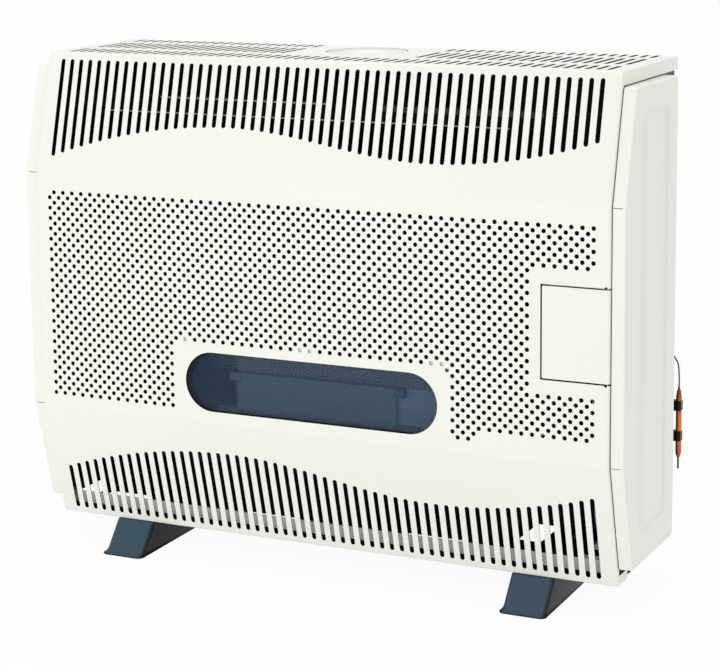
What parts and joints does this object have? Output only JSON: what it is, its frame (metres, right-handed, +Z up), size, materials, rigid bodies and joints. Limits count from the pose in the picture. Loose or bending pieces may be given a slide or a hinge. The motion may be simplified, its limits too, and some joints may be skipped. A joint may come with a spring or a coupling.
{
  "type": "wall mounted gas heater",
  "caption": "Wall mounted gas room heater: cream folded sheet casing with wave shaped louvre slots and a viewing window, hinged control flap, side trays, feet and rear flue outlet",
  "frame": {"origin": "on the floor, in the middle of the heater's width and depth", "axes": "+X to the right of a viewer who faces the heater, +Y to the wall behind it, +Z up"},
  "size_m": [0.8414, 0.256, 0.676],
  "materials": {
    "cream_enamel": "satin",
    "slate_enamel": "gloss",
    "dark_steel": "satin",
    "zinc_steel": "satin",
    "outer_glass": "polished",
    "inner_glass": "polished",
    "black_plastic": "matte",
    "red_plastic": "gloss",
    "bare_aluminium": "satin",
    "bare_brass": "satin",
    "bare_copper": "polished",
    "white_porcelain": "gloss",
    "seal_fibre": "matte"
  },
  "bodies": {
    "heater_body": {"front_casing": "cream_enamel", "side_tray_right": "cream_enamel", "side_tray_left": "cream_enamel", "flap_hinge_upper": "zinc_steel", "flap_hinge_lower": "zinc_steel", "flap_catch": "black_plastic", "viewing_glass": "outer_glass", "viewing_glass_clip_left": "zinc_steel", "viewing_glass_clip_middle": "zinc_steel", "viewing_glass_clip_right": "zinc_steel", "viewing_glass_rail": "zinc_steel", "base_pan": "cream_enamel", "side_frame_right": "slate_enamel", "side_frame_left": "slate_enamel", "back_panel": "slate_enamel", "front_rail": "zinc_steel", "foot_left": "slate_enamel", "foot_right": "slate_enamel", "foot_screw_left_front": "zinc_steel", "foot_screw_left_rear": "zinc_steel", "foot_screw_right_front": "zinc_steel", "foot_screw_right_rear": "zinc_steel", "casing_screw_left": "zinc_steel", "casing_screw_right": "zinc_steel", "flue_cap": "cream_enamel", "flue_box": "zinc_steel", "flue_spigot": "zinc_steel", "combustion_chamber": "dark_steel", "chamber_front": "slate_enamel", "chamber_gasket": "seal_fibre", "chamber_glass": "inner_glass", "chamber_glass_clip_lower_right": "zinc_steel", "chamber_glass_clip_lower_left": "zinc_steel", "chamber_glass_clip_upper_right": "zinc_steel", "chamber_glass_clip_upper_left": "zinc_steel", "chamber_leg_right": "zinc_steel", "chamber_leg_left": "zinc_steel", "heat_shield": "zinc_steel", "burner": "dark_steel", "injector": "bare_brass", "burner_pipe": "bare_aluminium", "pilot_burner": "zinc_steel", "spark_electrode": "white_porcelain", "thermocouple": "bare_copper", "pilot_pipe": "bare_aluminium", "ignition_lead": "black_plastic", "control_plate": "cream_enamel", "gas_valve": "bare_aluminium", "piezo_igniter": "black_plastic", "inlet_union": "bare_brass", "gas_inlet_pipe": "bare_aluminium", "thermostat_bulb": "bare_copper", "bulb_clip_lower": "black_plastic", "bulb_clip_upper": "black_plastic", "capillary": "bare_copper"},
    "flap": {"control_flap": "cream_enamel"},
    "spindle_guide": {"spindle_collar": "zinc_steel"},
    "knob": {"control_knob": "black_plastic", "valve_spindle": "bare_brass"},
    "igniter_button": {"piezo_button": "red_plastic"}
  },
  "joints": [
    {"name": "flap_hinge", "type": "hinge", "parent": "heater_body", "child": "flap", "pos_m": [0.3989, -0.1244, 0.36315], "axis": [0, 0, 1], "range_deg": [0, 100]},
    {"name": "knob_push", "type": "slide", "parent": "heater_body", "child": "spindle_guide", "axis": [0, 1, 0], "range_m": [0, 0.005], "stiffness_N_per_m": 1500},
    {"name": "knob_turn", "type": "hinge", "parent": "spindle_guide", "child": "knob", "pos_m": [0.35, -0.1, 0.376], "axis": [0, -1, 0], "range_deg": [0, 270]},
    {"name": "igniter_push", "type": "slide", "parent": "heater_body", "child": "igniter_button", "axis": [0, 1, 0], "range_m": [0, 0.006], "stiffness_N_per_m": 800}
  ]
}
